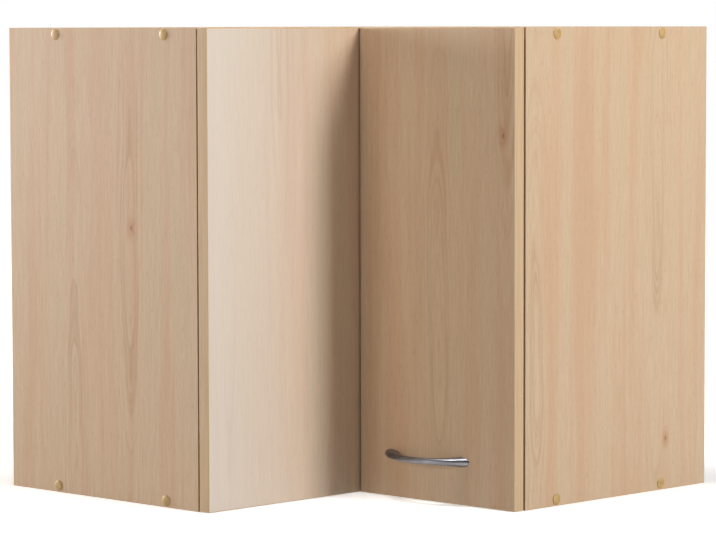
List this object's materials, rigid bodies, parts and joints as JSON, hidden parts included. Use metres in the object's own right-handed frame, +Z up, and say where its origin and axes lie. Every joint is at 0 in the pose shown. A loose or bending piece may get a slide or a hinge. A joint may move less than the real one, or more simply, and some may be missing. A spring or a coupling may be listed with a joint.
{
  "type": "corner wall cabinet",
  "caption": "L-shaped corner wall cabinet in beech-decor board with a hinged door on one wing, a fixed front on the other, a bow handle, concealed cup hinges and a shelf.",
  "frame": {"origin": "centre of the 600 x 600 mm plan square, on the underside", "axes": "+Z up, +Y to the rear wall, -X to the left wall; the door faces -Y, the fixed front faces +X"},
  "size_m": [0.6015, 0.6015, 0.56],
  "materials": {
    "beech_board": "beech-decor melamine on chipboard, satin",
    "beech_front": "beech-decor melamine on chipboard, satin",
    "hardboard": "thin hardboard with a printed beech face, matte",
    "satin_nickel": "satin nickel plate on cast zinc",
    "nickel_plate": "bright nickel plate on pressed steel",
    "zinc_plate": "clear zinc plate on steel",
    "cap_plastic": "satin moulded plastic",
    "clear_rubber": "soft clear polyurethane",
    "grey_plastic": "matte moulded plastic"
  },
  "bodies": {
    "carcass": {"left_side_panel": "beech_board", "right_side_panel": "beech_board", "bottom_panel": "beech_board", "top_panel": "beech_board", "rear_corner_board": "beech_board", "left_back_panel": "hardboard", "rear_back_panel": "hardboard", "shelf": "beech_board", "fixed_front_panel": "beech_front", "left_cover_cap_1": "cap_plastic", "left_connecting_screw_1": "zinc_plate", "left_cover_cap_2": "cap_plastic", "left_connecting_screw_2": "zinc_plate", "left_cover_cap_3": "cap_plastic", "left_connecting_screw_3": "zinc_plate", "left_cover_cap_4": "cap_plastic", "left_connecting_screw_4": "zinc_plate", "left_shelf_pin_1": "nickel_plate", "left_shelf_pin_2": "nickel_plate", "left_hanger_housing": "grey_plastic", "left_hanger_hook": "zinc_plate", "right_cover_cap_1": "cap_plastic", "right_connecting_screw_1": "zinc_plate", "right_cover_cap_2": "cap_plastic", "right_connecting_screw_2": "zinc_plate", "right_cover_cap_3": "cap_plastic", "right_connecting_screw_3": "zinc_plate", "right_cover_cap_4": "cap_plastic", "right_connecting_screw_4": "zinc_plate", "right_shelf_pin_1": "nickel_plate", "right_shelf_pin_2": "nickel_plate", "right_hanger_housing": "grey_plastic", "right_hanger_hook": "zinc_plate", "corner_shelf_pin_1": "nickel_plate", "lower_corner_screw_1": "zinc_plate", "lower_bracket_1": "zinc_plate", "upper_corner_screw_1": "zinc_plate", "upper_bracket_1": "zinc_plate", "corner_shelf_pin_2": "nickel_plate", "lower_corner_screw_2": "zinc_plate", "lower_bracket_2": "zinc_plate", "upper_corner_screw_2": "zinc_plate", "upper_bracket_2": "zinc_plate", "lower_hinge_plate": "nickel_plate", "lower_hinge_arm": "nickel_plate", "upper_hinge_plate": "nickel_plate", "upper_hinge_arm": "nickel_plate"},
    "outer_links": {"lower_hinge_outer_link": "nickel_plate", "upper_hinge_outer_link": "nickel_plate"},
    "door": {"door": "beech_front", "handle_bow": "satin_nickel", "handle_screw_1": "zinc_plate", "handle_screw_2": "zinc_plate", "lower_bumper": "clear_rubber", "upper_bumper": "clear_rubber", "lower_hinge_cup": "nickel_plate", "upper_hinge_cup": "nickel_plate"},
    "inner_links": {"lower_hinge_inner_link": "nickel_plate", "upper_hinge_inner_link": "nickel_plate"}
  },
  "joints": [
    {"name": "outer_link_pivot", "type": "hinge", "parent": "carcass", "child": "outer_links", "pos_m": [0.267, -0.0296, 0.28], "axis": [0, 0, 1], "range_deg": [-22.2, 0.1]},
    {"name": "door_swing", "type": "hinge", "parent": "outer_links", "child": "door", "pos_m": [0.2899, -0.039, 0.28], "axis": [0, 0, 1], "range_deg": [0, 122]},
    {"name": "inner_link_pivot", "type": "hinge", "parent": "carcass", "child": "inner_links", "pos_m": [0.26912, -0.0408, 0.28], "axis": [0, 0, 1], "range_deg": [-6.4, 0.1]}
  ],
  "couplings": [
    {"joint": "outer_link_pivot", "follows": "door_swing", "ratio": -0.18},
    {"joint": "inner_link_pivot", "follows": "door_swing", "ratio": -0.05123}
  ]
}
